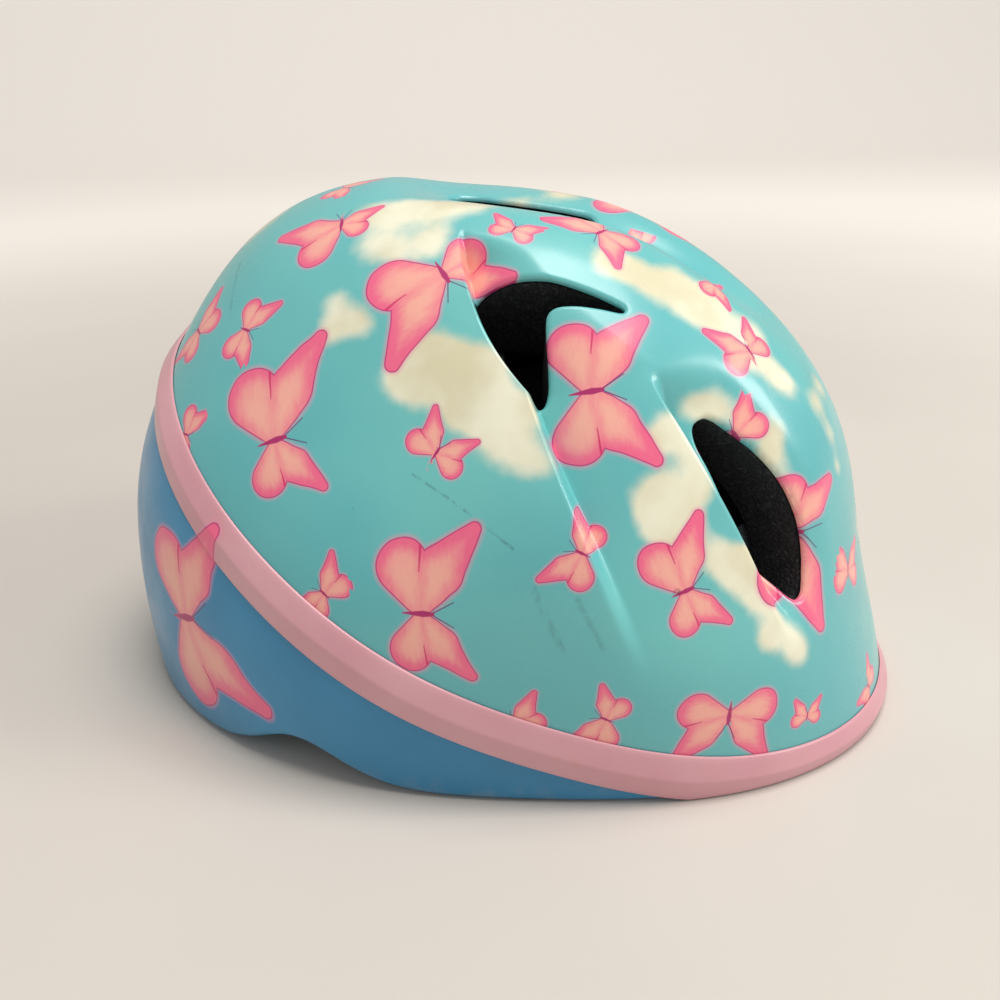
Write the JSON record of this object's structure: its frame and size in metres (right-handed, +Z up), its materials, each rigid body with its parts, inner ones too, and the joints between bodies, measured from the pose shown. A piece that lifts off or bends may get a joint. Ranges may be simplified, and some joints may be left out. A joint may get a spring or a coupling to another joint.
{
  "type": "cycling helmet",
  "caption": "Toddler cycling helmet: stepped vented top shell, edge band, lower shell, foam liner, pads, webbing with side-release buckle and a dial-fit cradle.",
  "frame": {"origin": "centre of the helmet's footprint, on the surface that the rim stands on", "axes": "+X to the wearer's left, +Y from brow to nape, +Z up to the crown"},
  "size_m": [0.1858, 0.2393, 0.1435],
  "materials": {
    "printed_shell": "turquoise in-mould film with a cloud and butterfly print",
    "band": "pink moulded strip with two facets",
    "lower_shell": "blue moulded shell",
    "foam": "black expanded polystyrene",
    "pad_fabric": "brushed knit over soft foam",
    "hook_tape": "hook tape",
    "webbing": "flat woven polyester webbing",
    "keeper_rubber": "moulded ring",
    "screw_steel": "small countersunk screws",
    "gear_plastic": "acetal gear and racks",
    "dial_plastic": "moulded dial with grip flutes",
    "black_plastic": "fine-textured moulded plastic"
  },
  "bodies": {
    "root": {"top_shell": "printed_shell", "edge_band": "band", "lower_shell": "lower_shell", "foam_liner": "foam", "brow_pad": "pad_fabric", "crown_pad_left": "pad_fabric", "crown_pad_right": "pad_fabric", "temple_pad_left": "pad_fabric", "temple_pad_right": "pad_fabric", "rear_pad_left": "pad_fabric", "rear_pad_right": "pad_fabric", "hook_dots": "hook_tape", "strap_anchors": "black_plastic", "front_strap_left": "webbing", "front_strap_right": "webbing", "rear_strap_left": "webbing", "rear_strap_right": "webbing", "slider_left": "black_plastic", "slider_right": "black_plastic", "chin_strap_left": "webbing", "chin_strap_right": "webbing", "strap_tail": "webbing", "buckle_socket": "black_plastic", "buckle_tongue": "black_plastic", "dial_housing": "black_plastic", "housing_cover": "black_plastic", "cover_screws": "screw_steel", "belt_left": "black_plastic", "belt_right": "black_plastic", "belt_pins": "black_plastic", "nape_pad": "pad_fabric"},
    "dial": {"fit_dial": "dial_plastic", "fit_pinion": "gear_plastic"},
    "left_rack": {"rack_left": "gear_plastic"},
    "right_rack": {"rack_right": "gear_plastic"},
    "front_prong": {"buckle_prong_front": "black_plastic"},
    "rear_prong": {"buckle_prong_rear": "black_plastic"},
    "keeper": {"strap_keeper": "keeper_rubber"}
  },
  "joints": [
    {"name": "dial_turn", "type": "hinge", "parent": "root", "child": "dial", "pos_m": [0, 0.066, 0.022], "axis": [0, -1, 0], "range_deg": [0, 100]},
    {"name": "rack_left_slide", "type": "slide", "parent": "root", "child": "left_rack", "axis": [-1, 0, 0], "range_m": [0, 0.00786], "deforming": ["belt_left"]},
    {"name": "rack_right_slide", "type": "slide", "parent": "root", "child": "right_rack", "axis": [1, 0, 0], "range_m": [0, 0.00786], "deforming": ["belt_right"]},
    {"name": "prong_front_flex", "type": "hinge", "parent": "root", "child": "front_prong", "pos_m": [-0.0026, -0.0003, 0.0051], "axis": [0, 0, 1], "range_deg": [0, 8], "stiffness_Nm_per_rad": 0.05},
    {"name": "prong_rear_flex", "type": "hinge", "parent": "root", "child": "rear_prong", "pos_m": [-0.0026, 0.0163, 0.0051], "axis": [0, 0, -1], "range_deg": [0, 8], "stiffness_Nm_per_rad": 0.05},
    {"name": "keeper_slide", "type": "slide", "parent": "root", "child": "keeper", "axis": [-1, 0, 0], "range_m": [0, 0.006]}
  ],
  "couplings": [
    {"joint": "rack_left_slide", "follows": "dial_turn", "m_per_rad": 0.0045},
    {"joint": "rack_right_slide", "follows": "dial_turn", "m_per_rad": 0.0045}
  ]
}
